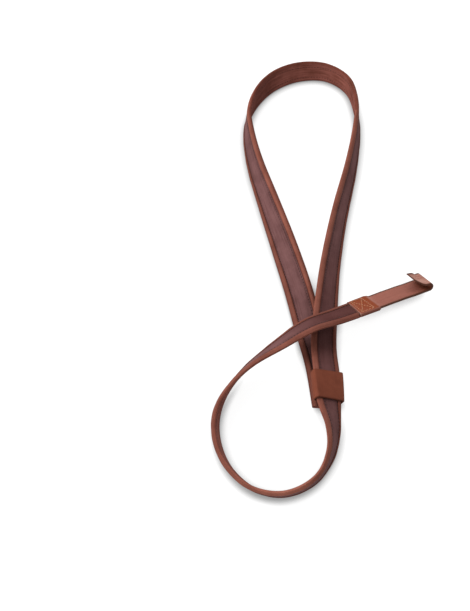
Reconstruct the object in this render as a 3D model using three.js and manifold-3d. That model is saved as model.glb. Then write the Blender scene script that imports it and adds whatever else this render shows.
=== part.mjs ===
// A slim leather ukulele strap, as it lies on a table: the neck loop stands on its edge at the far end,
// the keeper holds the two limbs together, the lower loop swings round to the left, and the free end
// crosses over both limbs and ends in a folded leather hook for the sound hole.
// Millimetres, +Z up, the table is Z = 0 and the origin is under the middle of the lay.
import * as THREE from 'three';
import { mergeVertices } from 'three/addons/utils/BufferGeometryUtils.js';
import Module from 'manifold-3d';

// Driving dimensions.
// The band is one leather backing, folded round both edges into two lips, with a dark inlay between them.
const STRAP = { width: 20, thick: 3, lip: 3.9, web: 1.4, edgeRound: 1.1, lipRound: 0.4 };
const INLAY = { thick: 1, crown: 0.25, shoulder: 2.2 };
const SEWN_GAP = 0.3;
const KEEPER = { wall: 1.2, clearance: 0.4, cornerRound: 1.8 };
const SEWN_END = { thick: 1.2, step: 0.01 };
const TAB = { patchWidth: 20.4, width: 17, thick: 1.6, edgeRound: 0.5, drop: 0.7 };
const HOOK = { gap: 3.1, flange: 3.8, lip: 8.2, lipRise: 41, tipWidth: 10.5, bendSteps: 6, lipSteps: 2 };

// Where the pieces begin and end, counted in rows of the route.
const TAIL_END = 0;
const SEAT_START = 35.5;
const TAB_START = 35.53;
const STRAP_END = 35.92;
const DROP_START = 35.98;
const DROP_END = 36.14;
const STRAIGHT_START = 36.2;
const TAB_FOLD = 37.86;
const KEEPER_SPAN = { start: 21, end: 22 };
const STEPS_PER_ROW = 4;
const PATCH_STEPS = 3;
const DROP_STEPS = 5;

// The lay's own middle, moved onto the origin.
const LAY_CENTRE = { x: 61.97, y: 33.25 };

// The route of the band's middle line over the table, one row for each section, in order of travel.
// lift is the clear height under the band's lower edge, and roll tips the front of the band from
// facing up (0) to facing left of travel (90), where the band stands on its left edge.
const ROUTE = [
  { x: 60.5, y: -86, lift: 0, roll: -18 }, // tail, under the keeper
  { x: 57, y: -53.5, lift: 0, roll: -16 },
  { x: 51.5, y: -22, lift: 0, roll: -3 }, // left limb
  { x: 44.5, y: 12.5, lift: 0, roll: 13 },
  { x: 35, y: 49, lift: 0, roll: 31 },
  { x: 25, y: 85, lift: 0, roll: 47 },
  { x: 15.5, y: 120.5, lift: 0, roll: 61 },
  { x: 10.5, y: 150.5, lift: 0, roll: 72 },
  { x: 10.5, y: 173.5, lift: 0, roll: 85 }, // neck arc
  { x: 18, y: 194.5, lift: 0, roll: 94 },
  { x: 31.5, y: 211, lift: 0, roll: 98 },
  { x: 51, y: 220.5, lift: 0, roll: 94 },
  { x: 72.5, y: 220, lift: 0, roll: 89 },
  { x: 89, y: 206, lift: 0, roll: 89 },
  { x: 94.5, y: 182.5, lift: 0, roll: 87 },
  { x: 93.5, y: 155.5, lift: 0, roll: 77 }, // right limb
  { x: 87, y: 118, lift: 0, roll: 68 },
  { x: 77, y: 75.5, lift: 0, roll: 58 },
  { x: 69, y: 33.5, lift: 0, roll: 47 },
  { x: 63.8, y: -5.5, lift: 0, roll: 35 },
  { x: 60.8, y: -37.5, lift: 2.4, roll: 27 },
  { x: 61.5, y: -62.2, lift: 5, roll: 24.5 }, // inside the keeper
  { x: 62, y: -85, lift: 5.2, roll: 33 },
  { x: 63.9, y: -106, lift: 1.2, roll: 60.5 }, // lower loop
  { x: 60.7, y: -125.5, lift: 0, roll: 83 },
  { x: 50, y: -143, lift: 0, roll: 101 },
  { x: 31, y: -152, lift: 0, roll: 111 },
  { x: 11, y: -148, lift: 0, roll: 114 },
  { x: -4, y: -133.5, lift: 0, roll: 110 },
  { x: -11.5, y: -115, lift: 0, roll: 104 },
  { x: -12, y: -95, lift: 0.2, roll: 93 },
  { x: -5, y: -77, lift: 1.5, roll: 77 },
  { x: 9, y: -60, lift: 4.8, roll: 62 }, // climb and crossing
  { x: 29, y: -45, lift: 9.6, roll: 44 },
  { x: 50, y: -31.2, lift: 14.4, roll: 31 },
  { x: 70.5, y: -19.9, lift: 10.6, roll: 24.5 },
  { x: 95, y: -5.2, lift: 5, roll: 21.5 }, // sewn end
  { x: 115, y: 4.9, lift: 2.5, roll: 21.5 }, // tab
  { x: 135, y: 15, lift: 0, roll: 21.5 }, // fold of the hook
];

// One column of the route at a place between rows, on a smooth curve through every row.
function routeValue(column, place) {
  const last = ROUTE.length - 1;
  const row = Math.min(Math.floor(place), last - 1);
  const t = place - row;
  const before = ROUTE[Math.max(row - 1, 0)][column];
  const here = ROUTE[row][column];
  const next = ROUTE[row + 1][column];
  const after = ROUTE[Math.min(row + 2, last)][column];
  const slopeHere = (next - before) / 2;
  const slopeNext = (after - here) / 2;
  const rise = next - here;
  const bend = 3 * rise - 2 * slopeHere - slopeNext;
  const twist = slopeHere + slopeNext - 2 * rise;
  return here + t * (slopeHere + t * (bend + t * twist));
}

// The band's middle point: high enough for its lower edge to keep its lift.
function routePoint(place) {
  const roll = THREE.MathUtils.degToRad(routeValue('roll', place));
  const lift = Math.max(routeValue('lift', place), 0);
  const halfHeight = (STRAP.width * Math.abs(Math.sin(roll)) + STRAP.thick * Math.abs(Math.cos(roll))) / 2;
  return new THREE.Vector3(
    routeValue('x', place) - LAY_CENTRE.x,
    routeValue('y', place) - LAY_CENTRE.y,
    lift + halfHeight,
  );
}

// A section's place and its two directions: across, from the left edge to the right edge, and front.
function routeStation(place) {
  const reach = 0.02;
  const last = ROUTE.length - 1;
  const from = routePoint(Math.max(place - reach, 0));
  const to = routePoint(Math.min(place + reach, last));
  const along = to.sub(from).normalize();
  const left = new THREE.Vector3(0, 0, 1).cross(along).normalize();
  const up = along.clone().cross(left);
  const roll = THREE.MathUtils.degToRad(routeValue('roll', place));
  const front = up.clone().multiplyScalar(Math.cos(roll)).addScaledVector(left, Math.sin(roll));
  const across = left.clone().multiplyScalar(-Math.cos(roll)).addScaledVector(up, Math.sin(roll));
  return { middle: routePoint(place), along, across, front };
}

function routeStations(start, end, steps) {
  return Array.from({ length: steps + 1 }, (_, i) => routeStation(start + ((end - start) * i) / steps));
}

// Stations at an even count to each row, so that a sleeve and the band inside it bend at the same places.
function routeRun(start, end) {
  return routeStations(start, end, Math.round((end - start) * STEPS_PER_ROW));
}

// A closed solid swept through stations. sectionOf gives each station's outline, anticlockwise in
// (across, front), with the same count of points at every station. The diagonals of all faces lean
// the same way across the band, so that pieces laid in each other twist alike.
function sweep(stations, sectionOf) {
  const outlines = stations.map(sectionOf);
  const sides = outlines[0].length;
  const position = [];
  stations.forEach(({ middle, across, front }, i) => {
    for (const point of outlines[i]) {
      const vertex = middle.clone().addScaledVector(across, point.x).addScaledVector(front, point.y);
      position.push(...vertex.toArray());
    }
  });
  const index = [];
  for (let i = 0; i < stations.length - 1; i += 1) {
    for (let k = 0; k < sides; k += 1) {
      const next = (k + 1) % sides;
      const a = i * sides + k;
      const b = i * sides + next;
      if (outlines[i][k].x < outlines[i][next].x) {
        index.push(a, a + sides, b + sides, a, b + sides, b);
      } else {
        index.push(a, a + sides, b, b, a + sides, b + sides);
      }
    }
  }
  const endRing = (stations.length - 1) * sides;
  for (const [a, b, c] of THREE.ShapeUtils.triangulateShape(outlines[0], [])) {
    index.push(a, b, c, endRing + a, endRing + c, endRing + b);
  }
  const geometry = new THREE.BufferGeometry();
  geometry.setAttribute('position', new THREE.Float32BufferAttribute(position, 3));
  geometry.setIndex(index);
  return geometry;
}

// A flat outline with four rounded corners, anticlockwise from the right-hand back corner.
const CORNER_TURNS = [0, 45, 90];

function roundedSlab(width, thick, round) {
  const points = [];
  const corners = [
    { x: 1, y: -1, start: -90 },
    { x: 1, y: 1, start: 0 },
    { x: -1, y: 1, start: 90 },
    { x: -1, y: -1, start: 180 },
  ];
  for (const corner of corners) {
    for (const turn of CORNER_TURNS) {
      const angle = THREE.MathUtils.degToRad(corner.start + turn);
      points.push(new THREE.Vector2(
        corner.x * (width / 2 - round) + round * Math.cos(angle),
        corner.y * (thick / 2 - round) + round * Math.sin(angle),
      ));
    }
  }
  return points;
}

// The backing's section: a slab whose front is opened by the channel between the two lips.
function backingSection() {
  const slab = roundedSlab(STRAP.width, STRAP.thick, STRAP.edgeRound);
  const channel = STRAP.width / 2 - STRAP.lip;
  const top = STRAP.thick / 2;
  const floor = STRAP.web - STRAP.thick / 2;
  const mouth = [
    new THREE.Vector2(channel + STRAP.lipRound, top),
    new THREE.Vector2(channel, top - STRAP.lipRound),
    new THREE.Vector2(channel, floor),
    new THREE.Vector2(-channel, floor),
    new THREE.Vector2(-channel, top - STRAP.lipRound),
    new THREE.Vector2(-channel - STRAP.lipRound, top),
  ];
  const frontRight = slab.length / 2;
  return [...slab.slice(0, frontRight), ...mouth, ...slab.slice(frontRight)];
}

// The sewn end's section: the same folds pared down to a thin tongue for the tab to lie on.
function paredSection() {
  const back = -STRAP.thick / 2;
  const share = SEWN_END.thick / STRAP.thick;
  return backingSection().map(({ x, y }) => new THREE.Vector2(x, back + (y - back) * share));
}

// The inlay's section: a leather strip laid in the channel, a little crowned along its middle.
function inlaySection() {
  const half = STRAP.width / 2 - STRAP.lip - SEWN_GAP;
  const back = STRAP.web - STRAP.thick / 2 + SEWN_GAP;
  const top = back + INLAY.thick;
  return [
    new THREE.Vector2(-half, back),
    new THREE.Vector2(half, back),
    new THREE.Vector2(half, top - INLAY.crown),
    new THREE.Vector2(half - INLAY.shoulder, top),
    new THREE.Vector2(-half + INLAY.shoulder, top),
    new THREE.Vector2(-half, top - INLAY.crown),
  ];
}

function strapBacking() {
  const full = routeRun(TAIL_END, SEAT_START);
  const pared = routeStations(SEAT_START + SEWN_END.step, STRAP_END, PATCH_STEPS);
  return sweep([...full, ...pared], (_, i) => (i < full.length ? backingSection() : paredSection()));
}

function strapInlay() {
  return sweep(routeRun(TAIL_END, SEAT_START), inlaySection);
}

// The keeper: a sleeve that follows the running strap, cut out by a slightly longer bore.
async function keeperSleeve() {
  const wasm = await Module();
  wasm.setup();
  const solid = (geometry) => {
    const merged = mergeVertices(geometry);
    return new wasm.Manifold(new wasm.Mesh({
      numProp: 3,
      vertProperties: new Float32Array(merged.attributes.position.array),
      triVerts: new Uint32Array(merged.index.array),
    }));
  };
  const boreWidth = STRAP.width + 2 * KEEPER.clearance;
  const boreThick = STRAP.thick + 2 * KEEPER.clearance;
  const outside = roundedSlab(boreWidth + 2 * KEEPER.wall, boreThick + 2 * KEEPER.wall, KEEPER.cornerRound);
  const inside = roundedSlab(boreWidth, boreThick, STRAP.edgeRound);
  const { start, end } = KEEPER_SPAN;
  const overcut = 1 / STEPS_PER_ROW;
  const sleeve = solid(sweep(routeRun(start, end), () => outside));
  const bore = solid(sweep(routeRun(start - overcut, end + overcut), () => inside));
  const mesh = sleeve.subtract(bore).getMesh();
  const geometry = new THREE.BufferGeometry();
  geometry.setAttribute('position', new THREE.Float32BufferAttribute(mesh.vertProperties, 3));
  geometry.setIndex(Array.from(mesh.triVerts));
  return geometry;
}

// The tab's stations: sewn on the pared end, stepping down off it and narrowing, then straight to the fold.
function tabStations() {
  const onStrap = SEWN_END.thick - STRAP.thick / 2 + SEWN_GAP + TAB.thick / 2;
  const stations = [];
  const addRun = (start, end, steps, stepDown) => {
    for (let i = 0; i <= steps; i += 1) {
      const station = routeStation(start + ((end - start) * i) / steps);
      const share = stepDown(i / steps);
      station.middle.addScaledVector(station.front, onStrap - TAB.drop * share);
      stations.push({ ...station, width: THREE.MathUtils.lerp(TAB.patchWidth, TAB.width, share) });
    }
  };
  addRun(TAB_START, STRAP_END, PATCH_STEPS, () => 0);
  addRun(DROP_START, DROP_END, DROP_STEPS, (t) => THREE.MathUtils.smoothstep(t, 0, 1));
  addRun(STRAIGHT_START, TAB_FOLD, STEPS_PER_ROW, () => 1);
  return stations;
}

// The hook: the tab bends up round the gap, comes back over itself and its lip flares open.
function hookStations(foldStation) {
  const { middle, along, across, front } = foldStation;
  const bendRadius = (HOOK.gap + TAB.thick) / 2;
  const stations = [];
  let heading = 0;
  const at = middle.clone();
  const place = (width) => {
    const normal = along.clone().multiplyScalar(-Math.sin(heading));
    normal.addScaledVector(front, Math.cos(heading));
    stations.push({ middle: at.clone(), across, front: normal, width });
  };
  const advance = (length) => {
    at.addScaledVector(along, length * Math.cos(heading));
    at.addScaledVector(front, length * Math.sin(heading));
  };
  const halfStep = Math.PI / HOOK.bendSteps / 2;
  const chord = 2 * bendRadius * Math.sin(halfStep);
  for (let i = 0; i < HOOK.bendSteps; i += 1) {
    heading += halfStep;
    advance(chord);
    heading += halfStep;
    place(TAB.width);
  }
  advance(HOOK.flange);
  const flare = THREE.MathUtils.degToRad(HOOK.lipRise);
  heading -= flare / 2;
  place(TAB.width);
  heading -= flare / 2;
  for (let i = 1; i <= HOOK.lipSteps; i += 1) {
    advance(HOOK.lip / HOOK.lipSteps);
    place(THREE.MathUtils.lerp(TAB.width, HOOK.tipWidth, i / HOOK.lipSteps));
  }
  return stations;
}

function hookTab() {
  const tab = tabStations();
  const stations = [...tab, ...hookStations(tab.at(-1))];
  return sweep(stations, (station) => roundedSlab(station.width, TAB.thick, TAB.edgeRound));
}

function leather(color, roughness) {
  return new THREE.MeshStandardMaterial({ color, roughness, metalness: 0 });
}

const backingLeather = leather('#7d4434', 0.5);
const inlayLeather = leather('#5f3f40', 0.6);
const keeperLeather = leather('#6b3a2b', 0.55);
const tabLeather = leather('#955f4e', 0.5);

const strap = new THREE.Group();

function addPiece(name, geometry, material) {
  const piece = new THREE.Mesh(geometry, material);
  piece.name = name;
  strap.add(piece);
}

addPiece('strap_backing', strapBacking(), backingLeather);
addPiece('strap_inlay', strapInlay(), inlayLeather);
addPiece('keeper', await keeperSleeve(), keeperLeather);
addPiece('hook_tab', hookTab(), tabLeather);

export default strap;
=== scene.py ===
# %% [markdown]
# A slim leather ukulele strap lies on a glowing white table. It is a folded leather band with a burgundy
# strip sewn into its front, a leather keeper that slides on it, and a tab at the free end that folds
# over into a hook for the sound hole.
#
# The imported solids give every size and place. This lesson dresses them: each leather piece is skinned
# again with finer sections along the same route, and then sewn, creased, worn and lit.

# %% Load the solids
import math

import bpy
import numpy as np
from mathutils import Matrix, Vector


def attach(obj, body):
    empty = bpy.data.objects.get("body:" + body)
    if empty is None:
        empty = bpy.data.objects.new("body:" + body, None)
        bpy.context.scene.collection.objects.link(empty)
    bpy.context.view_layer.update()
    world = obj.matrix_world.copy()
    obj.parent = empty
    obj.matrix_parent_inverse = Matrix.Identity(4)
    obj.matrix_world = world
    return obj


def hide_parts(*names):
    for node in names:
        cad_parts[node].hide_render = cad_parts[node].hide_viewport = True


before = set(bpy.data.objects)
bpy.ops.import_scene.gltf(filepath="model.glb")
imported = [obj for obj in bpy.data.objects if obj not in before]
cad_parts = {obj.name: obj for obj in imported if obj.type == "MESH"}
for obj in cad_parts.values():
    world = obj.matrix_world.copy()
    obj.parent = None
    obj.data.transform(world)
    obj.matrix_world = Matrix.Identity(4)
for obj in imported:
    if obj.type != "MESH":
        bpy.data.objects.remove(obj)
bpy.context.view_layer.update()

MM = 0.001

# %% [markdown]
# The camera comes first, because every later choice is judged through it. It looks down at the table
# from the near side, steeply enough to see both loops open. A real camera that stood about 0.9 m away
# gives the same slight narrowing of the far loop, so the lens is worked out from that distance.

# %% Camera
IMAGE_HEIGHT_PX = 611
LAY_CENTRE = np.array([61.97, 33.25]) * MM
CAMERA_DISTANCE = 900 * MM
CAMERA_RISE = math.radians(55)
FOCAL_PX = 1276.6

camera_data = bpy.data.cameras.new("table_camera")
camera_data.lens = camera_data.sensor_width * FOCAL_PX / IMAGE_HEIGHT_PX
camera = bpy.data.objects.new("table_camera", camera_data)
bpy.context.collection.objects.link(camera)
aim = Vector((-LAY_CENTRE[0], -LAY_CENTRE[1], 0))
towards_eye = Vector((0, -math.cos(CAMERA_RISE), math.sin(CAMERA_RISE)))
camera.location = aim + CAMERA_DISTANCE * towards_eye
camera.rotation_euler = towards_eye.to_track_quat("Z", "Y").to_euler()
bpy.context.scene.camera = camera
bpy.context.scene.view_settings.view_transform = "Standard"
print("camera lens:", round(camera_data.lens, 1), "mm")

# %% [markdown]
# The band's route is the same table that shaped the solids: where its middle line runs over the table,
# how high its lower edge is lifted, and how far it rolls from lying flat to standing on its edge.
# A curve object with a bevel could sweep a band, but it can't be told the roll of each section so
# exactly, so the sections are placed by a few lines of array code.

# %% Route of the band
ROUTE_COLUMNS = {"x": 0, "y": 1, "lift": 2, "roll": 3}  # mm, mm, mm, degrees
ROUTE = np.array([
    (60.5, -86, 0, -18),  # tail, under the keeper
    (57, -53.5, 0, -16),
    (51.5, -22, 0, -3),  # left limb
    (44.5, 12.5, 0, 13),
    (35, 49, 0, 31),
    (25, 85, 0, 47),
    (15.5, 120.5, 0, 61),
    (10.5, 150.5, 0, 72),
    (10.5, 173.5, 0, 85),  # neck arc
    (18, 194.5, 0, 94),
    (31.5, 211, 0, 98),
    (51, 220.5, 0, 94),
    (72.5, 220, 0, 89),
    (89, 206, 0, 89),
    (94.5, 182.5, 0, 87),
    (93.5, 155.5, 0, 77),  # right limb
    (87, 118, 0, 68),
    (77, 75.5, 0, 58),
    (69, 33.5, 0, 47),
    (63.8, -5.5, 0, 35),
    (60.8, -37.5, 2.4, 27),
    (61.5, -62.2, 5, 24.5),  # inside the keeper
    (62, -85, 5.2, 33),
    (63.9, -106, 1.2, 60.5),  # lower loop
    (60.7, -125.5, 0, 83),
    (50, -143, 0, 101),
    (31, -152, 0, 111),
    (11, -148, 0, 114),
    (-4, -133.5, 0, 110),
    (-11.5, -115, 0, 104),
    (-12, -95, 0.2, 93),
    (-5, -77, 1.5, 77),
    (9, -60, 4.8, 62),  # climb and crossing
    (29, -45, 9.6, 44),
    (50, -31.2, 14.4, 31),
    (70.5, -19.9, 10.6, 24.5),
    (95, -5.2, 5, 21.5),  # sewn end
    (115, 4.9, 2.5, 21.5),  # tab
    (135, 15, 0, 21.5),  # fold of the hook
])
BAND = {"width": 20 * MM, "thick": 3 * MM, "lip": 3.9 * MM, "web": 1.4 * MM}
HEADING_REACH = 0.02  # rows of the route, before and after a station


def route_value(column, place):
    """One column of the route at places between rows, on a smooth curve through every row."""
    values = ROUTE[:, ROUTE_COLUMNS[column]]
    last = len(values) - 1
    row = np.clip(np.floor(place).astype(int), 0, last - 1)
    t = place - row
    before, here = values[np.maximum(row - 1, 0)], values[row]
    ahead, after = values[row + 1], values[np.minimum(row + 2, last)]
    slope_here, slope_ahead = (ahead - before) / 2, (after - here) / 2
    rise = ahead - here
    bend = 3 * rise - 2 * slope_here - slope_ahead
    twist = slope_here + slope_ahead - 2 * rise
    return here + t * (slope_here + t * (bend + t * twist))


def route_point(place):
    """The band's middle points, high enough for its lower edge to keep its lift."""
    roll = np.radians(route_value("roll", place))
    half_height = (BAND["width"] * abs(np.sin(roll)) + BAND["thick"] * abs(np.cos(roll))) / 2
    lift = np.maximum(route_value("lift", place), 0) * MM
    flat = [route_value("x", place) * MM - LAY_CENTRE[0], route_value("y", place) * MM - LAY_CENTRE[1]]
    return np.stack([*flat, lift + half_height], axis=-1)


def unit(vectors):
    """The same directions, each one long."""
    return vectors / np.linalg.norm(vectors, axis=-1, keepdims=True)


def route_stations(place):
    """Middle, along, across and front of the band at each place, as arrays of points and directions."""
    place = np.asarray(place, dtype=float)
    ahead = route_point(np.minimum(place + HEADING_REACH, len(ROUTE) - 1))
    behind = route_point(np.maximum(place - HEADING_REACH, 0))
    along = unit(ahead - behind)
    left = unit(np.cross((0, 0, 1), along))
    up = np.cross(along, left)
    roll = np.radians(route_value("roll", place))[:, None]
    front = np.cos(roll) * up + np.sin(roll) * left
    across = np.sin(roll) * up - np.cos(roll) * left
    return {"middle": route_point(place), "along": along, "across": across, "front": front}


# %% [markdown]
# Stitches and grain have to keep their size along the whole band, so places on the route are also
# needed by length. A fine table of the middle line's length turns millimetres along the band into
# rows of the route.

# %% Length along the band
FINE_COUNT = 6000
FINE_PLACES = np.linspace(0, len(ROUTE) - 1, FINE_COUNT)
fine_steps = np.linalg.norm(np.diff(route_point(FINE_PLACES), axis=0), axis=1)
FINE_LENGTHS = np.concatenate([[0], np.cumsum(fine_steps)])


def length_at(place):
    """Length along the band at places on the route."""
    return np.interp(place, FINE_PLACES, FINE_LENGTHS)


def place_at(length):
    """Places on the route at lengths along the band."""
    return np.interp(length, FINE_LENGTHS, FINE_PLACES)


def places_between(start, end, spacing):
    """Places on the route from start to end, evenly spaced along the band."""
    steps = max(round((length_at(end) - length_at(start)) / spacing), 1)
    return place_at(np.linspace(length_at(start), length_at(end), steps + 1))


# %% [markdown]
# Near the free end two layers meet: the band is pared thin and the tab is sewn on top of it. The cut
# across them isn't square but slants back towards the near edge. A cutting tool could trim the finished
# meshes. It is simpler to carry the points near the cut back by their place across the band, and to let
# that fade out within a centimetre.

# %% Slanted cut
SEAT_START = 35.5
STRAP_END = 35.92
CUT_SLANT = 3.4 * MM
CUT_REACH = 11 * MM


def cut_slant(lengths, across):
    """How far the slanted cut at the sewn end carries the leather back, most at its near edge."""
    share = np.clip(1 - abs(lengths - length_at(SEAT_START)) / CUT_REACH, 0, 1)
    return -CUT_SLANT * share * (0.5 + across / BAND["width"])


print("band length:", round(length_at(STRAP_END) / MM), "mm")

# %% [markdown]
# A cut strip of leather has soft corners, so each section is an outline with rounded corners. The
# same helper serves the folded band, the inlay, the keeper and the tab. Long straight sides are split,
# so that creases and grooves have points to bend at.

# %% Section outlines
CORNER_STEPS = 6


def rounded_outline(corners, spacing):
    """A closed outline from square corners (x, y, radius), anticlockwise, with long sides split."""
    corners = np.array(corners)
    points = []
    for before, here, after in zip(np.roll(corners, 1, 0), corners, np.roll(corners, -1, 0)):
        way_in = unit(here[:2] - before[:2])
        way_out = unit(after[:2] - here[:2])
        radius = here[2]
        start = here[:2] - way_in * radius
        centre = start + way_out * radius
        for turn in np.linspace(0, math.pi / 2, CORNER_STEPS + 1 if radius else 1):
            points.append(centre + (start - centre) * math.cos(turn) + way_in * radius * math.sin(turn))
    split = []
    for here, after in zip(points, points[1:] + points[:1]):
        parts = max(int(np.linalg.norm(after - here) / spacing), 1)
        split += [here + (after - here) * i / parts for i in range(parts)]
    return np.array(split)


def slab_outline(width, thick, radius, spacing):
    """A flat leather strip's section."""
    x, y = width / 2, thick / 2
    return rounded_outline([(x, -y, radius), (x, y, radius), (-x, y, radius), (-x, -y, radius)], spacing)


# %% [markdown]
# Every leather piece is skinned in the same way: an outline at each station, joined by quads, and a
# face at each end. The mesh also remembers, at every point, how far along and across the leather it
# lies, how much it is rubbed or painted, and how much painted light or shade it carries. The materials
# read these marks, so colour follows the making of the piece, and the painted light and shade follow
# where the piece lies.

# %% Skinning helper
SMOOTH_BELOW = math.radians(40)


def leather_piece(name, points, faces, marks):
    """A mesh object from points and faces, with one number per point for each mark."""
    mesh = bpy.data.meshes.new(name)
    mesh.from_pydata(points.reshape(-1, 3).tolist(), [], faces)
    for mark, values in marks.items():
        attribute = mesh.attributes.new(mark, "FLOAT", "POINT")
        attribute.data.foreach_set("value", np.asarray(values, dtype=np.float32).ravel())
    mesh.validate()
    mesh.shade_smooth()
    mesh.set_sharp_from_angle(angle=SMOOTH_BELOW)
    piece = bpy.data.objects.new(name, mesh)
    bpy.context.collection.objects.link(piece)
    print(name, "faces:", len(mesh.polygons))
    return piece


def skin_points(stations, outlines, shift):
    """Outline points (station, point, across and front) set out at their stations, shifted along."""
    points = (stations["middle"][:, None] + outlines[..., :1] * stations["across"][:, None]
              + outlines[..., 1:] * stations["front"][:, None])
    return points + shift[..., None] * stations["along"][:, None]


def skin_faces(rings, sides, closed=False):
    """Quads between neighbouring rings, with end faces or, if closed, quads back to the first ring."""
    faces = []
    for ring in range(rings if closed else rings - 1):
        here, ahead = ring * sides, (ring + 1) % rings * sides
        for side in range(sides):
            beside = (side + 1) % sides
            faces.append((here + side, ahead + side, ahead + beside, here + beside))
    if not closed:
        faces.append(tuple(range(sides)))
        faces.append(tuple(range(rings * sides - 1, (rings - 1) * sides - 1, -1)))
    return faces


# %% [markdown]
# The backing is one strip of tan leather, folded round both long edges onto the front. In section it is
# a shallow tray: a thin web under the inlay, and a lip along each side. Its outer corners are round,
# because a fold of leather has no sharp edge.

# %% Section of the backing
half_band, half_thick = BAND["width"] / 2, BAND["thick"] / 2
channel = half_band - BAND["lip"]
channel_floor = BAND["web"] - half_thick
EDGE_ROUND, LIP_ROUND, BACKING_SPACING = 1.4 * MM, 0.4 * MM, 0.55 * MM
backing_outline = rounded_outline([
    (half_band, -half_thick, EDGE_ROUND), (half_band, half_thick, EDGE_ROUND),
    (channel, half_thick, LIP_ROUND), (channel, channel_floor, 0),
    (-channel, channel_floor, 0), (-channel, half_thick, LIP_ROUND),
    (-half_band, half_thick, EDGE_ROUND), (-half_band, -half_thick, EDGE_ROUND)], BACKING_SPACING)
print("points round the backing:", len(backing_outline))

# %% [markdown]
# A fold of leather springs open a little, so each lip swells in its middle, falls away to the rim like
# a bead, and rises and sinks slowly along the band. The stitch rows pull two shallow grooves into the
# back. Under the tab the end is pared to a thinner and narrower tongue. All this could be sculpted on a
# finished mesh, but the outlines can be bent before they are joined, and then every bend has a size.

# %% Shape of the backing
STITCH_PITCH = 2.3 * MM
STITCH_LINES = (-5.65 * MM, 4.9 * MM)
PARED_THICK, PARED_WIDTH = 1.2 / 3, 0.93
PARED_STEP, PARED_STATIONS = 0.01, 12
LIP_SWELL, LIP_FALL = 0.45 * MM, 1.5 * MM
BACK_GROOVE, GROOVE_REACH, BACK_FLAT = 0.22 * MM, 0.5 * MM, -0.9
LIP_WAVES = [(41 * MM, 0.4, 0.06 * MM), (17.3 * MM, 1.9, 0.045 * MM), (9.1 * MM, 4, 0.025 * MM)]


def ripple(length, waves):
    """A slow uneven wave along the leather, from (wavelength, phase, height) rows."""
    return sum(height * np.sin(2 * math.pi * length / wave + phase) for wave, phase, height in waves)


def from_stitches(across):
    """Distance across the band from the nearer stitch row."""
    return np.minimum(abs(across - STITCH_LINES[0]), abs(across - STITCH_LINES[1]))


full_places = places_between(0, SEAT_START, STITCH_PITCH / 2)
pared_places = np.linspace(SEAT_START + PARED_STEP, STRAP_END, PARED_STATIONS)
backing_places = np.concatenate([full_places, pared_places])
lengths = length_at(backing_places)[:, None]
x, y = np.repeat(backing_outline[None], len(backing_places), axis=0).transpose(2, 0, 1)

on_lip = np.clip(1 - ((abs(x) - (channel + half_band) / 2) / (BAND["lip"] / 2)) ** 2, 0, 1)
outward = np.clip((abs(x) - channel) / BAND["lip"], 0, 1)
swell = (LIP_SWELL * on_lip - LIP_FALL * outward ** 2) * np.clip(y / half_thick, 0, 1)
groove = BACK_GROOVE * np.exp(-(from_stitches(x) / GROOVE_REACH) ** 2) * (y < BACK_FLAT * half_thick)
pull = ripple(lengths, LIP_WAVES)
y = y + swell + groove + pull * on_lip * (y > 0)
pared = (backing_places > SEAT_START)[:, None]
x = np.where(pared, PARED_WIDTH * x, x)
y = np.where(pared, -half_thick + (y + half_thick) * PARED_THICK, y)
backing_section = np.stack([x, y], axis=-1)
print("sections of the backing:", len(backing_places))

# %% [markdown]
# Leather remembers its use, so wear is stored as marks on the points, and painted light and shade go
# with it. Burnish darkens a thin line at each seam and the last centimetres, which hands hold. Painted
# shade darkens the rims of the left limb and the arc, the lip of the other side, the inner part of the
# upper lip on the right limb, and the hollow where the arc begins. From the right limb on, a painted
# highlight lightens the upper rim instead, most in the lower bend, and from the lower loop on that side
# is darker away from the bend. Vertex paint could be brushed on by eye, but marks worked out from
# lengths stay with the leather if the route changes.

# %% Wear of the backing
HANDLED_REACH, HANDLED_FADE = 68 * MM, 42 * MM
ARC_FROM, RIM_HIGHLIGHT_FROM, LOOP_FROM, LOWER_BEND = 8, 14.5, 22.5, 26
RIM_REACH, RIM_HIGHLIGHT_REACH, BEND_REACH = 1.8 * MM, 0.8 * MM, 25 * MM
HOLLOW_PLACE, HOLLOW_REACH, SEAM_REACH = 9, 30 * MM, 0.3 * MM
RIM_FROM, BACK_FROM = 0.85, -0.5
# Burnish: seam, pared and hands. Painted shade: limb_rim, arc_rim, run_lip, far_lip and hollow. The loop
# entry darkens one side from the lower loop on, away from the bend.
BURNISH_AND_SHADE = {"seam": 0.12, "limb_rim": 0.5, "arc_rim": 0.28, "run_lip": 0.3, "loop": 0.34, "far_lip": 0.4,
           "pared": 0.1, "hands": 0.55, "hollow": 0.42}
# Painted highlight on the upper rim, along the run and most in the lower bend.
RIM_HIGHLIGHT = {"run": 0.65, "bend": 0.75}


def handled(lengths):
    """How far hands have darkened the leather, which is most at the sewn end."""
    return np.clip((HANDLED_REACH - length_at(SEAT_START) + lengths) / HANDLED_FADE, 0, 1)


# The side whose upper rim carries the painted highlight, from the right limb on.
rim_highlight_side = (lengths > length_at(RIM_HIGHLIGHT_FROM)) & (x > 0)
right_limb = rim_highlight_side & (lengths < length_at(LOOP_FROM))
bend = np.exp(-((lengths - length_at(LOWER_BEND)) / BEND_REACH) ** 2)
rim_share = np.exp(-((half_band - abs(x)) / np.where(rim_highlight_side, RIM_HIGHLIGHT_REACH, RIM_REACH)) ** 2)
seam = np.exp(-((abs(x) - channel) / SEAM_REACH) ** 2) * (y > 0)
not_back = y > BACK_FROM * half_thick
# Darker on that side from the lower loop on, away from the lower bend.
loop_dark = BURNISH_AND_SHADE["loop"] * (1 - bend) * not_back
# Painted shade on the inner part of the upper lip along the right limb.
run_dark = np.where(right_limb, BURNISH_AND_SHADE["run_lip"] * (outward < RIM_FROM), loop_dark)
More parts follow.
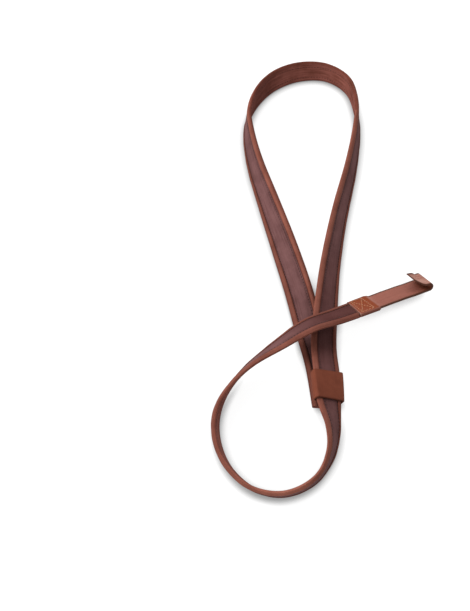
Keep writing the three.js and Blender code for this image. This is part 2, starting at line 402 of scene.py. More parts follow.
# Painted shade on the rims of the left limb and the arc.
rim_dark = np.where(lengths < length_at(ARC_FROM), BURNISH_AND_SHADE["limb_rim"], BURNISH_AND_SHADE["arc_rim"]) * rim_share
burnish_and_shade = np.maximum(BURNISH_AND_SHADE["seam"] * seam, np.where(rim_highlight_side, run_dark, rim_dark))
# Painted shade on the far lip.
burnish_and_shade = np.maximum(burnish_and_shade, BURNISH_AND_SHADE["far_lip"] * (x < -channel) * not_back)
burnish_and_shade = np.maximum(burnish_and_shade, BURNISH_AND_SHADE["hands"] * handled(lengths))
# Painted shade in the hollow where the arc begins.
hollow = np.exp(-((lengths - length_at(HOLLOW_PLACE)) / HOLLOW_REACH) ** 2) * (y < 0)
burnish_and_shade = np.maximum(burnish_and_shade, BURNISH_AND_SHADE["hollow"] * hollow)
burnish_and_shade = np.where(pared, BURNISH_AND_SHADE["pared"], burnish_and_shade)
backing_marks = {
    "burnish_and_shade": burnish_and_shade,
    # A paler wear tone on the lips, and a painted highlight on the upper rim.
    "wear_and_painted_light": on_lip * (y > 0) + (RIM_HIGHLIGHT["run"] + RIM_HIGHLIGHT["bend"] * bend) * rim_highlight_side * rim_share,
    "backside_and_highlight": np.clip(-y / half_thick, 0, 1) * (abs(x) < half_band - RIM_HIGHLIGHT_REACH),
    "along": np.broadcast_to(lengths, x.shape), "across": x}
print("points with burnish:", int((burnish_and_shade > 0.1).sum()))

# %% Folded backing
backing = leather_piece(
    "folded_backing",
    skin_points(route_stations(backing_places), backing_section, cut_slant(lengths, x)),
    skin_faces(len(backing_places), len(backing_outline)), backing_marks)
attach(backing, "root")
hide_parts("strap_backing")

# %% [markdown]
# The inlay is a softer burgundy strip that fills the front between the lips. Each stitch pulls its
# edge down, so the margins pucker in small even scallops and the middle stands up as a low crown. A
# displacement texture could fake the scallops. Three sections to a stitch are enough to have them as
# real shape. The strip is darkest where hands hold its end, and painted shade darkens it below the
# crossing band, down to the keeper.

# %% Shape of the inlay
INLAY = {"gap": 0.08 * MM, "thick": 1.3 * MM, "bed": 0.25 * MM, "crown": 0.15 * MM, "pucker": 0.2 * MM}
INLAY_ROUND = {"back": 0.1 * MM, "top": 0.35 * MM}
PUCKER_REACH, INLAY_SPACING = 0.7 * MM, 0.6 * MM
INLAY_WAVES = [(53 * MM, 2.2, 0.07 * MM), (23 * MM, 0.3, 0.05 * MM)]
inlay_half = channel - INLAY["gap"]
inlay_back = channel_floor + INLAY["bed"]
inlay_top = inlay_back + INLAY["thick"]
inlay_outline = rounded_outline([
    (inlay_half, inlay_back, INLAY_ROUND["back"]), (inlay_half, inlay_top, INLAY_ROUND["top"]),
    (-inlay_half, inlay_top, INLAY_ROUND["top"]), (-inlay_half, inlay_back, INLAY_ROUND["back"])],
    INLAY_SPACING)
inlay_places = places_between(0, SEAT_START, STITCH_PITCH / 3)
lengths = length_at(inlay_places)[:, None]
x, y = np.repeat(inlay_outline[None], len(inlay_places), axis=0).transpose(2, 0, 1)
top_side = y > inlay_back + 0.5 * INLAY["thick"]
margin = np.exp(-(from_stitches(x) / PUCKER_REACH) ** 2)
beat = 0.5 + 0.5 * np.cos(2 * math.pi * lengths / STITCH_PITCH)
slack = ripple(lengths, INLAY_WAVES)
dip = INLAY["crown"] * (abs(x) / inlay_half) ** 4 + margin * INLAY["pucker"] * beat
y = y - top_side * (dip - slack * np.clip(1 - (x / inlay_half) ** 2, 0, 1))
print("sections of the inlay:", len(inlay_places))

# %% Burgundy inlay
# Painted shade: the keeper entry, centred on this place, stands for the crossing band's shade on the
# right limb, down to the keeper. The hands and row entries are stains.
CROSSING_SHADE_PLACE, CROSSING_SHADE_REACH = 19.7, 55 * MM
STAIN_AND_SHADE = {"left_row": 0.36, "right_row": 0.2, "hands": 0.7, "keeper": 0.5}
crossing_shade = np.exp(-((lengths - length_at(CROSSING_SHADE_PLACE)) / CROSSING_SHADE_REACH) ** 2)
dark = np.maximum(STAIN_AND_SHADE["hands"] * handled(lengths), STAIN_AND_SHADE["keeper"] * crossing_shade)
dark = np.maximum(dark, np.where(x > 0, STAIN_AND_SHADE["right_row"], STAIN_AND_SHADE["left_row"]) * margin * beat)
inlay = leather_piece(
    "burgundy_inlay",
    skin_points(route_stations(inlay_places), np.stack([x, y], axis=-1), cut_slant(lengths, x)),
    skin_faces(len(inlay_places), len(inlay_outline)),
    {"burnish_and_shade": dark * top_side, "wear_and_painted_light": top_side * (1 - abs(x) / inlay_half),
     "backside_and_highlight": np.zeros_like(x), "along": np.broadcast_to(lengths, x.shape), "across": x})
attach(inlay, "root")
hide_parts("strap_inlay")

# %% [markdown]
# A stitch is a short length of waxed thread that rises out of one hole, bows over the leather and goes
# down the next. One stitch could be copied as an object hundreds of times. Here a small tube is worked
# out for all stitches in one array, and they become one joined mesh, which is far quicker.

# %% Thread helper
THREAD_RINGS, THREAD_SIDES = 7, 6
THREAD_SINK, THREAD_BLUNT = 0.4, 1.08


def thread_stitches(name, starts, ends, normals, radius, bow):
    """Stitches from arrays of start points, end points and leather normals, as one joined mesh."""
    travel = np.linspace(-1, 1, THREAD_RINGS)
    middle, half = (starts + ends) / 2, (ends - starts) / 2
    sideways = unit(np.cross(half, normals))
    arch = bow * (1 - travel ** 2) - THREAD_SINK * radius
    run = travel[None, :, None] * half[:, None]
    line = middle[:, None] + run + arch[None, :, None] * normals[:, None]
    girth = radius * np.sqrt(np.clip(THREAD_BLUNT - travel ** 4, 0, 1))
    turn = np.arange(THREAD_SIDES) * 2 * math.pi / THREAD_SIDES
    level, upright = sideways[:, None, None], normals[:, None, None]
    ring = np.cos(turn)[:, None] * level + np.sin(turn)[:, None] * upright
    points = line[:, :, None] + girth[None, :, None, None] * ring
    one = skin_faces(THREAD_RINGS, THREAD_SIDES)
    count = THREAD_RINGS * THREAD_SIDES
    faces = [tuple(i + stitch * count for i in face) for stitch in range(len(starts)) for face in one]
    along = np.broadcast_to(travel[None, :, None], points.shape[:3])
    return leather_piece(name, points, faces, {"twist": along})


# %% [markdown]
# Two rows hold the inlay down, each just inside its lip. They aren't quite even, because the strip was
# fed under the needle by hand. The thread on the front is drawn a little thicker than the 0.6 mm of the
# real one, so that it still shows in the picture. The back rows lie in their grooves.

# %% Rows along the band
STITCH_SHARE = 0.52
STITCH_SKEW = 0.12 * MM
FRONT_THREAD, BACK_THREAD, STITCH_BOW = 0.4 * MM, 0.28 * MM, 0.12 * MM


def band_stitches(name, surface_y, facing, radius):
    """Two rows of stitches along the band, on its front or its back."""
    centres = (np.arange(int(length_at(SEAT_START) / STITCH_PITCH)) + 0.5) * STITCH_PITCH
    rows = []
    for line_x in STITCH_LINES:
        tips = []
        for end in (-0.5, 0.5):
            place = place_at(centres + end * STITCH_SHARE * STITCH_PITCH)
            at = route_stations(place)
            shift = cut_slant(length_at(place), line_x)[:, None] * at["along"]
            sideways = at["across"] * (line_x + STITCH_SKEW * end)
            tips.append(at["middle"] + sideways + at["front"] * surface_y + shift)
        rows.append((*tips, route_stations(place_at(centres))["front"] * facing))
    starts, ends, normals = (np.concatenate(column) for column in zip(*rows))
    return thread_stitches(name, starts, ends, normals, radius, STITCH_BOW)


front_rows = band_stitches("front_stitch_rows", inlay_top - INLAY["crown"], 1, FRONT_THREAD)
back_rows = band_stitches("back_stitch_rows", -half_thick + BACK_GROOVE, -1, BACK_THREAD)
for rows_of_thread in (front_rows, back_rows):
    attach(rows_of_thread, "root")

# %% [markdown]
# The keeper is a plain leather sleeve that slides on the band, so it is a little wider than the band
# inside, and it has settled at a slant. Its cut ends are rounded over and darkened, and a painted
# highlight lightens its folded sides, more on the right. A tube with a solidify modifier would leave
# square rims. One closed loop of rings does better: along the outside, round the far rim, back along
# the inside and round the near rim, so there is no end face to hide.

# %% Rings of the keeper
KEEPER = {"wall": 1.2 * MM, "clearance": 0.34 * MM, "corner": 1.9 * MM, "slant": 0.125,
          "start": 21, "end": 22}
WALL_RINGS, RIM_STEPS = 26, 9
rim = KEEPER["wall"] / 2
keeper_length = length_at(KEEPER["end"]) - length_at(KEEPER["start"])
round_rim = np.linspace(math.pi / 2, -math.pi / 2, RIM_STEPS)[1:-1]
far_rim = keeper_length - rim
straight = np.linspace(rim, far_rim, WALL_RINGS)
steps = np.concatenate([
    straight, far_rim + rim * np.cos(round_rim), straight[::-1], rim - rim * np.cos(round_rim)])
wall = np.full(WALL_RINGS, rim)
rise = np.concatenate([wall, rim * np.sin(round_rim), -wall, -rim * np.sin(round_rim)])
print("keeper length:", round(keeper_length / MM, 1), "mm, rings:", len(steps))

# %% Keeper sleeve
END_PAINT, END_REACH = 0.5, 0.9 * MM
# Painted highlight on the folded sides, stronger on the right.
SIDE_HIGHLIGHT = {"from": 0.8, "left": 4, "right": 8}
UNSPLIT = 1.0  # a spacing longer than any side
bore = (BAND["width"] + 2 * KEEPER["clearance"], BAND["thick"] + 2 * KEEPER["clearance"])
keeper_section = np.stack([
    slab_outline(bore[0] + 2 * (rim + out), bore[1] + 2 * (rim + out),
                 KEEPER["corner"] - rim + out, UNSPLIT)
    for out in rise])
x = keeper_section[..., 0]
keeper_stations = route_stations(place_at(length_at(KEEPER["start"]) + steps))
end_paint = np.clip(1 - np.minimum(steps, keeper_length - steps) / END_REACH, 0, 1)[:, None]
# Painted highlight near both side faces of the sleeve.
side_highlight = np.clip(abs(x) / half_band - SIDE_HIGHLIGHT["from"], 0, 1)
side_highlight = side_highlight * np.where(x > 0, SIDE_HIGHLIGHT["left"], SIDE_HIGHLIGHT["right"])
keeper = leather_piece(
    "keeper_sleeve", skin_points(keeper_stations, keeper_section, KEEPER["slant"] * x),
    skin_faces(len(steps), x.shape[1], closed=True),
    {"burnish_and_shade": np.broadcast_to(END_PAINT * end_paint, x.shape),
     "wear_and_painted_light": side_highlight, "backside_and_highlight": np.zeros_like(x),
     "along": np.broadcast_to(steps[:, None], x.shape), "across": x})
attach(keeper, "root")
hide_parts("keeper")

# %% [markdown]
# The tab is a firmer strip of pinkish brown leather. It starts as a patch on the pared end of the band,
# steps down behind it, narrows, and runs on straight. Its stations come from the route, set higher on the
# patch and let down over a few millimetres.

# %% Tab along the route
TAB = {"start": 35.53, "patch_width": 20.4 * MM, "width": 17 * MM, "thick": 1.6 * MM, "drop": 0.7 * MM}
DROP = {"start": 35.98, "end": 36.14}
TAB_FOLD = 37.86
SEAT_GAP = 0.3 * MM
PATCH_STATIONS, DROP_STATIONS, RUN_STATIONS = 16, 12, 40

tab_places = np.concatenate([
    np.linspace(TAB["start"], DROP["start"], PATCH_STATIONS),
    np.linspace(DROP["start"], DROP["end"], DROP_STATIONS)[1:],
    np.linspace(DROP["end"], TAB_FOLD, RUN_STATIONS)[1:]])
tab_stations = route_stations(tab_places)
on_strap = PARED_THICK * BAND["thick"] - half_thick + SEAT_GAP + TAB["thick"] / 2
dropped = np.clip((tab_places - DROP["start"]) / (DROP["end"] - DROP["start"]), 0, 1)
dropped = dropped ** 2 * (3 - 2 * dropped)
seat = (on_strap - TAB["drop"] * dropped)[:, None]
tab_stations["middle"] = tab_stations["middle"] + tab_stations["front"] * seat
tab_widths = TAB["patch_width"] + (TAB["width"] - TAB["patch_width"]) * dropped
print("tab seat above the band's middle:", round(on_strap / MM, 2), "mm")

# %% [markdown]
# At its end the tab folds back over itself into the hook, and the lip flares open again and tapers. A
# curve with a bevel would twist at such a tight bend. So the sections follow a drawn bend: a heading
# that turns through half a circle, runs straight and turns back a little, step by step.

# %% Bend of the hook
HOOK = {"gap": 3.1 * MM, "flange": 1.2 * MM, "lip": 9.7 * MM, "rise": math.radians(38), "tip": 10.5 * MM}
BEND_STEPS, FLANGE_STEPS, LIP_STEPS, FLARE_STEPS = 24, 4, 12, 7
LIP_TAPER = 1.3
bend_radius = (HOOK["gap"] + TAB["thick"]) / 2
lip_share = np.arange(1, LIP_STEPS + 1) / LIP_STEPS
bend_rows = [(bend_radius * math.pi / BEND_STEPS, math.pi / BEND_STEPS, TAB["width"])] * BEND_STEPS
bend_rows += [(HOOK["flange"] / FLANGE_STEPS, 0, TAB["width"])] * FLANGE_STEPS
for i, share in enumerate(lip_share):
    width = TAB["width"] + (HOOK["tip"] - TAB["width"]) * share ** LIP_TAPER
    turn = -HOOK["rise"] / FLARE_STEPS if i < FLARE_STEPS else 0
    bend_rows.append((HOOK["lip"] / LIP_STEPS, turn, width))

fold = {key: values[-1] for key, values in tab_stations.items()}
at, heading = fold["middle"], 0.0
hook_middle, hook_front = [], []
for step, turn, width in bend_rows:
    midway = heading + turn / 2
    at = at + step * (math.cos(midway) * fold["along"] + math.sin(midway) * fold["front"])
    heading += turn
    hook_middle.append(at)
    hook_front.append(math.cos(heading) * fold["front"] - math.sin(heading) * fold["along"])
same = np.ones((len(bend_rows), 1))
hook_stations = {"middle": hook_middle, "front": hook_front,
                 "across": same * fold["across"], "along": same * fold["along"]}
tab_stations = {key: np.concatenate([values, hook_stations[key]])
                for key, values in tab_stations.items()}
tab_widths = np.concatenate([tab_widths, [row[2] for row in bend_rows]])[:, None]
tab_steps = np.linalg.norm(np.diff(tab_stations["middle"], axis=0), axis=1)
tab_lengths = np.concatenate([[0], np.cumsum(tab_steps)])[:, None]
print("tab length:", round(tab_lengths[-1, 0] / MM, 1), "mm")

# %% [markdown]
# The strip isn't a plain slab. The patch droops over the edges of the pared end, the run sags a little,
# and the lip is skived thin, set askew, and curled at its far edge where it has been bent open. The
# slab's section is widened to fit each station, but its rounded edges keep their size.

# %% Shape of the tab
TAB_EDGE, TAB_SPACING = 0.55 * MM, 0.4 * MM
DROOP = {"depth": 1 * MM, "from": 8.2 * MM, "reach": 2 * MM}
LIP = {"skive": 0.55, "skew": 1.5 * MM, "curl": 1.7 * MM}
SAG_FROM, DROP_MIDDLE = 12 * MM, 0.45
TAB_WAVES = [(29 * MM, 0.6, 0.1 * MM), (13 * MM, 2, 0.05 * MM)]
tab_outline = slab_outline(TAB["width"], TAB["thick"], TAB_EDGE, TAB_SPACING)
flat_half = TAB["width"] / 2 - TAB_EDGE
new_half = tab_widths / 2 - TAB_EDGE
x, y = np.repeat(tab_outline[None], len(tab_lengths), axis=0).transpose(2, 0, 1)
rounded = np.clip(abs(x) - flat_half, 0, None)
x = np.sign(x) * (np.minimum(abs(x), flat_half) * new_half / flat_half + rounded)
lengths = np.broadcast_to(tab_lengths, x.shape)
drop_length = np.interp(DROP_MIDDLE, dropped, tab_lengths[:len(dropped), 0])
on_patch_side = lengths < drop_length
before_lip = np.zeros(len(tab_lengths) - LIP_STEPS)
along_lip = np.concatenate([before_lip, np.linspace(0, 1, LIP_STEPS)])[:, None]

sag = ripple(lengths, TAB_WAVES) * (lengths > SAG_FROM)
upright = (y + sag) * (1 - LIP["skive"] * along_lip)
droop = DROOP["depth"] * np.clip((abs(x) - DROOP["from"]) / DROOP["reach"], 0, 1) ** 2 * on_patch_side
curl = LIP["curl"] * np.sin(math.pi * along_lip) * np.clip(-x / flat_half, 0, 1) ** 2
tab_section = np.stack([x - LIP["skew"] * along_lip, upright - droop - curl], axis=-1)
print("sections of the tab:", len(tab_lengths))

# %% [markdown]
# Its marks tell how it was made, and two of them are painted light. The edges and the tip are painted
# dark, more broadly on the far side. The sewn patch is rubbed to a rust colour. Inside the hook's mouth
# a dark, rust-coloured painted shade lies under the lip. The cut at the start shows raw pale leather, a
# painted highlight lies on the step behind the patch, and the outside of the hook is flesh side.

# %% Hook tab
PAINT = {"far": 1.8 * MM, "near": 1.2 * MM, "fade": 0.4 * MM, "patch": 0.6,
         "tip": 0.9 * MM, "tip_fade": 0.6 * MM}
MOUTH_REACH, MOUTH_SHADE = 5.5 * MM, 0.45
SEWN = {"fade": 2 * MM, "margin": 1.5 * MM, "inset": 0.6}
RAW_CUT = {"start": 1.8, "fade": 0.6 * MM}
STEP_HIGHLIGHT = {"reach": 1.9 * MM, "middle": 0.6, "least": 0.1, "pale": 0.8}
RUST_AND_SHADE = {"sewn": 2.3, "mouth": 1.5}
UPPER_FROM = -0.3
upper = upright > UPPER_FROM * TAB["thick"]
edge_distance = tab_widths / 2 - abs(x)
paint_and_shade = np.clip((np.where(x < 0, PAINT["far"], PAINT["near"]) - edge_distance) / PAINT["fade"], 0, 1)
paint_and_shade = paint_and_shade * np.where(on_patch_side, PAINT["patch"], 1)
from_tip = tab_lengths[-1] - lengths
paint_and_shade = np.maximum(paint_and_shade, np.clip((PAINT["tip"] - from_tip) / PAINT["tip_fade"], 0, 1))
sewn = np.clip((drop_length - lengths) / SEWN["fade"], 0, 1)
sewn = sewn * np.clip(edge_distance / SEWN["margin"] - SEWN["inset"], 0, 1)
# Painted shade inside the hook's mouth: it darkens the leather there and turns it rust-coloured.
mouth = np.exp(-((lengths - tab_lengths[len(dropped) - 1]) / MOUTH_REACH) ** 2) * upper
paint_and_shade = np.maximum(paint_and_shade, MOUTH_SHADE * mouth)
raw_cut = np.clip(RAW_CUT["start"] - lengths / RAW_CUT["fade"], 0, 1)
# Painted highlight on the step behind the patch, strongest towards the far side.
far_side = np.clip(STEP_HIGHLIGHT["middle"] - x / TAB["width"], STEP_HIGHLIGHT["least"], 1)
step_highlight = far_side * np.exp(-((lengths - drop_length) / STEP_HIGHLIGHT["reach"]) ** 2)
# Rust colour where the patch is sewn, and painted shade in the hook's mouth.
rust_and_shade = np.maximum(RUST_AND_SHADE["sewn"] * sewn * (1 - raw_cut), RUST_AND_SHADE["mouth"] * mouth)
# Flesh side on the hook's outside and the raw cut, with the painted highlight of the step.
flesh_side_and_highlight = np.maximum(np.maximum(~upper, raw_cut), STEP_HIGHLIGHT["pale"] * step_highlight)
cut_back = cut_slant(lengths + length_at(TAB["start"]), x)
tab = leather_piece(
    "hook_tab_leather", skin_points(tab_stations, tab_section, cut_back),
    skin_faces(len(tab_lengths), len(tab_outline)),
    {"burnish_and_shade": paint_and_shade, "wear_and_painted_light": rust_and_shade, "backside_and_highlight": flesh_side_and_highlight, "along": lengths, "across": x})
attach(tab, "root")
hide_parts("hook_tab")

# %% [markdown]
# The patch is sewn down by a box of rust-coloured stitches with a cross in it, the strongest way to
# join two straps. The corners of the box are set in from the patch's edges, and each side is divided
# into whole stitches.

# %% Crossed box of stitches
BOX = {"inset": 2.4 * MM, "near": 1.8 * MM, "far": 10.2 * MM, "pitch": 1.9 * MM, "share": 0.76}
BOX_THREAD, BOX_BOW = 0.4 * MM, 0.2 * MM
box_x = TAB["patch_width"] / 2 - BOX["inset"]
corners = [(-box_x, BOX["near"]), (box_x, BOX["near"]), (box_x, BOX["far"]), (-box_x, BOX["far"])]
diagonals = [(corners[0], corners[2]), (corners[1], corners[3])]
box_lines = np.array(list(zip(corners, corners[1:] + corners[:1])) + diagonals)


def on_patch(points):
    """Points on top of the patch from (across, along the patch), and the leather's normals there."""
    lengths = length_at(TAB["start"]) + points[:, 1]
    station = route_stations(place_at(lengths))
    on_top = station["across"] * points[:, :1] + station["front"] * (on_strap + TAB["thick"] / 2)
    shift = station["along"] * cut_slant(lengths, points[:, 0])[:, None]
    return station["middle"] + on_top + shift, station["front"]


stitches = []
for line_start, line_end in box_lines:
    count = max(round(np.linalg.norm(line_end - line_start) / BOX["pitch"]), 1)
    for i in range(count):
        share = (i + 0.5 + BOX["share"] * np.array([-0.5, 0.5])) / count
        tips, fronts = on_patch(line_start + share[:, None] * (line_end - line_start))
        stitches.append((*tips, fronts.mean(axis=0)))
starts, ends, normals = np.array(stitches).transpose(1, 0, 2)
patch_stitches = thread_stitches("patch_stitches", starts, ends, normals, BOX_THREAD, BOX_BOW)
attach(patch_stitches, "root")

# %% [markdown]
# Colours are written as the sRGB values that an eye picks from a swatch, and Blender's shaders work
# with linear light, so one function turns the one into the other. One more function adds a node: its
# settings are properties, and each input takes a value or a link.

# %% Material helpers
def linear(swatch):
    """An sRGB hex swatch as the linear colour that a shader takes."""
    channels = [int(swatch[i:i + 2], 16) / 255 for i in (1, 3, 5)]
    return (*[c / 12.92 if c <= 0.04045 else ((c + 0.055) / 1.055) ** 2.4 for c in channels], 1)


def add_node(tree, kind, inputs=None, **settings):
    """One node: settings are its properties, and each input takes a value or another node's output."""
    node = tree.nodes.new(kind)
    for name, value in settings.items():
        setattr(node, name, value)
    for socket, value in (inputs or {}).items():
        if isinstance(value, bpy.types.NodeSocket):
            tree.links.new(value, node.inputs[socket])
        else:
            node.inputs[socket].default_value = value
    return node


def empty_material(name):
    """A new material and its node tree, with nothing in it yet."""
    material = bpy.data.materials.new(name)
    material.use_nodes = True
    material.node_tree.nodes.clear()
    return material, material.node_tree


# %% [markdown]
# All four leathers are dyed cowhide. Dye takes unevenly: in clouds of a centimetre or so, and in streaks
# along the strip, drawn by the hand that rubbed it in. It gathers in the pores. Painted edges are darker,
# and so are some folded rims, by painted shade. Rubbed edges take another tone, some of them by painted
# highlight, and the flesh side is duller. The pores of real grain are about 0.3 mm, too fine for this
# picture, so they are drawn 0.7 to 1.2 mm wide, and the streaks 0.9 mm.
#
# A painted texture could hold all this, but nodes that read the marks follow the making of the piece,
# and the painted light and shade that the marks carry.

# %% Leather finish
CLOUD_SIZE, STREAK_LENGTH, STREAK_WIDTH = 14 * MM, 20 * MM, 0.9 * MM
LEATHER_IOR, FLESH_ROUGHNESS, GRAIN_HEIGHT = 1.48, 0.92, 0.12 * MM
UNEVEN_LOW, UNEVEN_HIGH = 0.74, 1.26
PIT_WIDTH, PIT_DEPTH = 0.12, 0.5
SMOOTHER, ROUGHER = 0.07, 0.08


def leather(name, face, deep, paint_and_shade, worn_and_painted_light, flesh_and_highlight, pore_mm, roughness, shine, relief):
    """Dyed cowhide: two tones of dye, a dark tone for edge colour and painted shade, a paler tone for
    wear and painted highlights, the back's own tone, and then grain and gloss.
    """
    material, tree = empty_material(name)
    coords = add_node(tree, "ShaderNodeTexCoord").outputs["Object"]
    mark = {key: add_node(tree, "ShaderNodeAttribute", attribute_name=key).outputs["Fac"]
            for key in ("burnish_and_shade", "wear_and_painted_light", "backside_and_highlight", "along", "across")}
    clouds = add_node(tree, "ShaderNodeTexNoise", {
        "Vector": coords, "Scale": 1 / CLOUD_SIZE, "Detail": 5, "Roughness": 0.62})
    pores = add_node(tree, "ShaderNodeTexVoronoi", {
        "Vector": coords, "Scale": 1 / (pore_mm * MM)}, feature="DISTANCE_TO_EDGE")
    fibre = add_node(tree, "ShaderNodeTexNoise", {
        "Vector": coords, "Scale": 1 / (0.5 * pore_mm * MM), "Detail": 3})
    lengthwise = add_node(tree, "ShaderNodeMath", {
        0: mark["along"], 1: 1 / STREAK_LENGTH}, operation="MULTIPLY")
    crosswise = add_node(tree, "ShaderNodeMath", {
        0: mark["across"], 1: 1 / STREAK_WIDTH}, operation="MULTIPLY")
    laid = add_node(tree, "ShaderNodeCombineXYZ", {"X": lengthwise.outputs[0], "Y": crosswise.outputs[0]})
    streaks = add_node(tree, "ShaderNodeTexNoise", {"Vector": laid.outputs[0], "Scale": 1, "Detail": 4})

    uneven = add_node(tree, "ShaderNodeMath", {
        0: clouds.outputs["Fac"], 1: streaks.outputs["Fac"]}, operation="ADD")
    dye = add_node(tree, "ShaderNodeMapRange", {
        "Value": uneven.outputs[0], "From Min": UNEVEN_LOW, "From Max": UNEVEN_HIGH})
    tone = add_node(tree, "ShaderNodeMix", {
        0: dye.outputs[0], 6: linear(deep), 7: linear(face)}, data_type="RGBA")
    pit = add_node(tree, "ShaderNodeMapRange", {
        "Value": pores.outputs["Distance"], "From Max": PIT_WIDTH, "To Min": PIT_DEPTH, "To Max": 0})
    grain = add_node(tree, "ShaderNodeMix", {
        0: pit.outputs[0], 6: tone.outputs[2], 7: linear(deep)}, data_type="RGBA")
    reverse = add_node(tree, "ShaderNodeMix", {
        0: dye.outputs[0], 6: linear(deep), 7: linear(flesh_and_highlight)}, data_type="RGBA")
    turned = add_node(tree, "ShaderNodeMix", {
        0: mark["backside_and_highlight"], 6: grain.outputs[2], 7: reverse.outputs[2]}, data_type="RGBA")
    wear_and_light_share = add_node(tree, "ShaderNodeMath", {
        0: mark["wear_and_painted_light"], 1: clouds.outputs["Fac"]}, operation="MULTIPLY")
    wear_and_painted_light = add_node(tree, "ShaderNodeMix", {
        0: wear_and_light_share.outputs[0], 6: turned.outputs[2], 7: linear(worn_and_painted_light)}, data_type="RGBA")
    colour = add_node(tree, "ShaderNodeMix", {
        0: mark["burnish_and_shade"], 6: wear_and_painted_light.outputs[2], 7: linear(paint_and_shade)}, data_type="RGBA")

    gloss = add_node(tree, "ShaderNodeMapRange", {
        "Value": fibre.outputs["Fac"], "From Min": 0.3, "From Max": 0.7,
        "To Min": roughness - SMOOTHER, "To Max": roughness + ROUGHER})
    dullness = add_node(tree, "ShaderNodeMix", {
        0: mark["backside_and_highlight"], 2: gloss.outputs[0], 3: FLESH_ROUGHNESS})
    height = add_node(tree, "ShaderNodeMath", {
        0: pores.outputs["Distance"], 1: fibre.outputs["Fac"]}, operation="ADD")
    bump = add_node(tree, "ShaderNodeBump", {
        "Height": height.outputs[0], "Strength": relief, "Distance": GRAIN_HEIGHT})
    shader = add_node(tree, "ShaderNodeBsdfPrincipled", {
        "Base Color": colour.outputs[2], "Roughness": dullness.outputs[0], "Normal": bump.outputs[0],
        "IOR": LEATHER_IOR, "Specular IOR Level": shine})
    add_node(tree, "ShaderNodeOutputMaterial", {"Surface": shader.outputs[0]})
    print(name, "nodes:", len(tree.nodes))
    return material


# %% [markdown]
# Finished leather usually has an IOR near 1.5 and a roughness of 0.4 to 0.7. This strap is duller: it was
# waxed and then handled, and almost no light lies on it as shine. So the roughness is higher here, and
# the specular level low, which also keeps a grey veil off the faces that are seen at a flat angle.

# %% Four leathers
# Bridle-type cowhide, dyed tan and hand-waxed: matt and warm red-brown, with long wax streaks on the back
# and a paler bead along each lip.
# Its dark tone also paints shade on the rims, the far lip and the arc's hollow, and its paler tone a
# highlight on the upper rim from the right limb on.
waxed_tan_cowhide = leather(
    "waxed_tan_cowhide", face="#703c30", deep="#532c22", paint_and_shade="#361b17", worn_and_painted_light="#835245",
    flesh_and_highlight="#7c4a41", pore_mm=0.8, roughness=0.68, shine=0.03, relief=0.45)
# Soft garment hide, drum-dyed burgundy and tumbled: a dull, greyish wine red with a pebbled grain.
# Its dark tone also paints the crossing band's shade on the right limb.
soft_burgundy_hide = leather(
    "soft_burgundy_hide", face="#614342", deep="#452c2b", paint_and_shade="#331511", worn_and_painted_light="#654645",
    flesh_and_highlight="#3a2220", pore_mm=1.2, roughness=0.78, shine=0.02, relief=0.7)
# Brown cowhide, buffed nearly smooth: a warm even brown, with a painted highlight on the folded sides.
buffed_brown_cowhide = leather(
    "buffed_brown_cowhide", face="#582c1f", deep="#4b2418", paint_and_shade="#2e150e", worn_and_painted_light="#673728",
    flesh_and_highlight="#452319", pore_mm=0.8, roughness=0.66, shine=0.04, relief=0.4)
# Firm cowhide, dyed pinkish brown, pressed smooth and edge-painted: a fine grain with a faint gleam,
# rust-coloured where it is sewn. Its rust and dark edge tones also paint a shade inside the hook's mouth,
# and its pale back tone a highlight on the step behind the patch.
pressed_pink_brown_cowhide = leather(
    "pressed_pink_brown_cowhide", face="#794a3f", deep="#6b3f35", paint_and_shade="#472a20", worn_and_painted_light="#662d15",
    flesh_and_highlight="#8e6b60", pore_mm=0.7, roughness=0.6, shine=0.05, relief=0.25)
for piece, finish in [(backing, waxed_tan_cowhide), (inlay, soft_burgundy_hide),
                      (keeper, buffed_brown_cowhide), (tab, pressed_pink_brown_cowhide)]:
    piece.data.materials.append(finish)

# %% [markdown]
# The thread is waxed polyester: a few plies twisted together, with the wax dulling them. The eye sees
# light plies and shade between them. The real twist is finer than a pixel here and isn't modelled, so
# the shade between the plies is painted as dark bands, two turns to a stitch. Polyester has an IOR near
# 1.6, and the wax on it about 1.45.

# %% Waxed threads
THREAD_IOR, THREAD_ROUGHNESS, THREAD_SHEEN = 1.5, 0.6, 0.05


def waxed_thread(name, light, dark, shine):
    """Twisted thread: painted shade between the plies, and the lighter colour on them."""
    material, tree = empty_material(name)
    travel = add_node(tree, "ShaderNodeAttribute", attribute_name="twist").outputs["Fac"]
    plies = add_node(tree, "ShaderNodeMath", {0: travel, 1: 2 * math.pi}, operation="MULTIPLY")
    wave = add_node(tree, "ShaderNodeMath", {0: plies.outputs[0]}, operation="SINE")
    share = add_node(tree, "ShaderNodeMapRange", {"Value": wave.outputs[0], "From Min": -1})
    colour = add_node(tree, "ShaderNodeMix", {
        0: share.outputs[0], 6: linear(dark), 7: linear(light)}, data_type="RGBA")
    shader = add_node(tree, "ShaderNodeBsdfPrincipled", {
        "Base Color": colour.outputs[2], "Roughness": THREAD_ROUGHNESS, "IOR": THREAD_IOR,
        "Specular IOR Level": shine, "Sheen Weight": THREAD_SHEEN})
    add_node(tree, "ShaderNodeOutputMaterial", {"Surface": shader.outputs[0]})
    print(name, "nodes:", len(tree.nodes))
    return material


# Dark brown thread, soaked with wax and dye: a dull fine line along each lip.
dark_waxed_polyester = waxed_thread("dark_waxed_polyester", "#38201c", "#2a1613", shine=0.1)
# Rust-coloured thread with less wax in it: its faint gleam draws the crossed box on the patch.
rust_waxed_polyester = waxed_thread("rust_waxed_polyester", "#91562f", "#733f20", shine=0.5)
for rows_of_thread in (front_rows, back_rows):
    rows_of_thread.data.materials.append(dark_waxed_polyester)
patch_stitches.data.materials.append(rust_waxed_polyester)

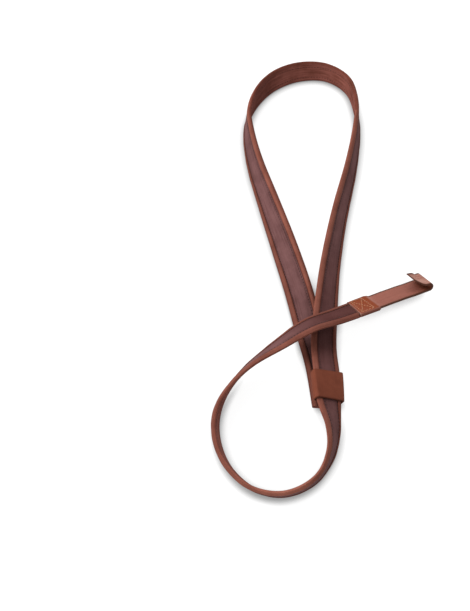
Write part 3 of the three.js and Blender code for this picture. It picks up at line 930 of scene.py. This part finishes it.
# %% [markdown]
# The strap was photographed on white with a tight soft shade all round it. The table is a matt sheet of
# opal acrylic that glows, so cast shadows drown, and the tight shade is a painted shadow on it. A bright
# white floor with strong lamps would burn out or cast long shadows. Here the sheet glows, and two ambient
# occlusion nodes paint the shadow by dimming the glow: one close to the leather, and one that reaches
# further and works only under the lifted end.

# %% Light table
TABLE_HALF = 15.0
CLOSE_REACH, UNDER_REACH, SHADE_SAMPLES = 5.5 * MM, 18 * MM, 16
GLOW_OPEN, GLOW_TOUCHED, GLOW_COVERED = 0.93, 0.4, 0.25
sheet_corners = [(-1, -1, 0), (1, -1, 0), (1, 1, 0), (-1, 1, 0)]
table_mesh = bpy.data.meshes.new("light_table")
table_mesh.from_pydata((TABLE_HALF * np.array(sheet_corners)).tolist(), [], [(0, 1, 2, 3)])
light_table = bpy.data.objects.new("light_table", table_mesh)
bpy.context.collection.objects.link(light_table)
opal_acrylic, sheet_tree = empty_material("opal_acrylic")
# Painted shadow: ambient occlusion dims the glow close to the leather and under the lifted end.
close = add_node(sheet_tree, "ShaderNodeAmbientOcclusion", {"Distance": CLOSE_REACH},
                 samples=SHADE_SAMPLES)
under = add_node(sheet_tree, "ShaderNodeAmbientOcclusion", {"Distance": UNDER_REACH},
                 samples=SHADE_SAMPLES)
touched = add_node(sheet_tree, "ShaderNodeMapRange", {
    "Value": close.outputs["AO"], "From Min": 0.5, "To Min": GLOW_TOUCHED, "To Max": GLOW_OPEN})
covered = add_node(sheet_tree, "ShaderNodeMapRange", {
    "Value": under.outputs["AO"], "From Min": 0.1, "From Max": 0.55, "To Min": GLOW_COVERED})
glow = add_node(sheet_tree, "ShaderNodeMath", {
    0: touched.outputs[0], 1: covered.outputs[0]}, operation="MULTIPLY")
sheet_shader = add_node(sheet_tree, "ShaderNodeBsdfPrincipled", {
    "Base Color": linear("#5a5a5a"), "Roughness": 0.9, "IOR": 1.49, "Emission Color": (1, 1, 1, 1),
    "Emission Strength": glow.outputs[0]})
add_node(sheet_tree, "ShaderNodeOutputMaterial", {"Surface": sheet_shader.outputs[0]})
table_mesh.materials.append(opal_acrylic)
print("light table:", 2 * TABLE_HALF, "m wide")

# %% [markdown]
# Four soft boxes light the leather. The key stands on the left, so the left limb is bright and the
# right limb stays dark. A weaker one fills from the front, and a broad low one behind draws the upper
# rims. The weakest stands low on the right, for the faces that turn away from the key. A dim white sky
# lifts the rest.

# %% Soft studio light
SKY_STRENGTH = 0.45
sky = bpy.data.worlds.new("white_sky")
sky.use_nodes = True
sky.node_tree.nodes["Background"].inputs["Color"].default_value = (1, 1, 1, 1)
sky.node_tree.nodes["Background"].inputs["Strength"].default_value = SKY_STRENGTH
bpy.context.scene.world = sky


def softbox(name, place, size, power):
    """A square soft light that faces the middle of the lay."""
    light = bpy.data.lights.new(name, "AREA")
    light.shape = "SQUARE"
    light.size = size
    light.energy = power
    lamp = bpy.data.objects.new(name, light)
    bpy.context.collection.objects.link(lamp)
    lamp.location = Vector(place)
    lamp.rotation_euler = Vector(place).to_track_quat("Z", "Y").to_euler()


softbox("left_softbox", place=(-1.0, 0.25, 1.1), size=1.0, power=25)
softbox("front_fill", place=(-0.8, -1.3, 0.8), size=1.0, power=16)
softbox("back_softbox", place=(0.15, 1.6, 1.0), size=2.2, power=48)
softbox("right_fill", place=(1.2, 0.1, 0.45), size=0.8, power=2.5)
